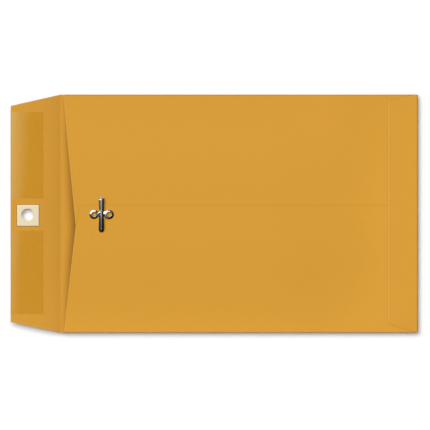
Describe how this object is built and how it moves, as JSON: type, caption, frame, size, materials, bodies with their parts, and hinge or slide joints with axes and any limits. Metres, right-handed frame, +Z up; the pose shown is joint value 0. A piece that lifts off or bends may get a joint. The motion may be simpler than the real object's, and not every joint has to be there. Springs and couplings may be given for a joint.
{
  "type": "clasp envelope",
  "caption": "Kraft paper open-end envelope with a folded pouch, a gummed closing flap with a reinforced hole, and a two-prong metal clasp that fastens through it.",
  "frame": {"origin": "middle of the pouch's nominal 228.6 x 152.4 mm rectangle, on the back face that the envelope lies on", "axes": "+X from the mouth to the bottom fold, +Y from the lower to the upper side fold, +Z up out of the front"},
  "size_m": [0.2607, 0.1524, 0.0069],
  "materials": {
    "kraft_paper": "matte",
    "dried_gum": "satin",
    "patch_card": "matte",
    "paste": "matte",
    "clasp_metal": "polished"
  },
  "bodies": {
    "pouch": {"back_panel": "kraft_paper", "upper_side_fold": "kraft_paper", "lower_side_fold": "kraft_paper", "upper_panel": "kraft_paper", "lower_panel": "kraft_paper", "seam_glue": "paste", "bottom_fold": "kraft_paper", "bottom_flap": "kraft_paper", "bottom_flap_glue": "paste", "flap_score": "kraft_paper", "clasp_base": "clasp_metal"},
    "flap": {"closing_flap": "kraft_paper", "upper_gum_strip": "dried_gum", "lower_gum_strip": "dried_gum", "hole_patch_glue": "paste", "hole_patch": "patch_card"},
    "upper_prong": {"upper_prong": "clasp_metal"},
    "lower_prong": {"lower_prong": "clasp_metal"}
  },
  "joints": [
    {"name": "flap_fold", "type": "hinge", "parent": "pouch", "child": "flap", "pos_m": [-0.1127, 0, 0.0036], "axis": [0, 1, 0], "range_deg": [0, 175], "deforming": ["flap_score"]},
    {"name": "upper_prong_bend", "type": "hinge", "parent": "pouch", "child": "upper_prong", "pos_m": [-0.0883, 0.0002, 0.0065], "axis": [1, 0, 0], "range_deg": [0, 90]},
    {"name": "lower_prong_bend", "type": "hinge", "parent": "pouch", "child": "lower_prong", "pos_m": [-0.0883, -0.0013, 0.0065], "axis": [-1, 0, 0], "range_deg": [0, 90]}
  ]
}
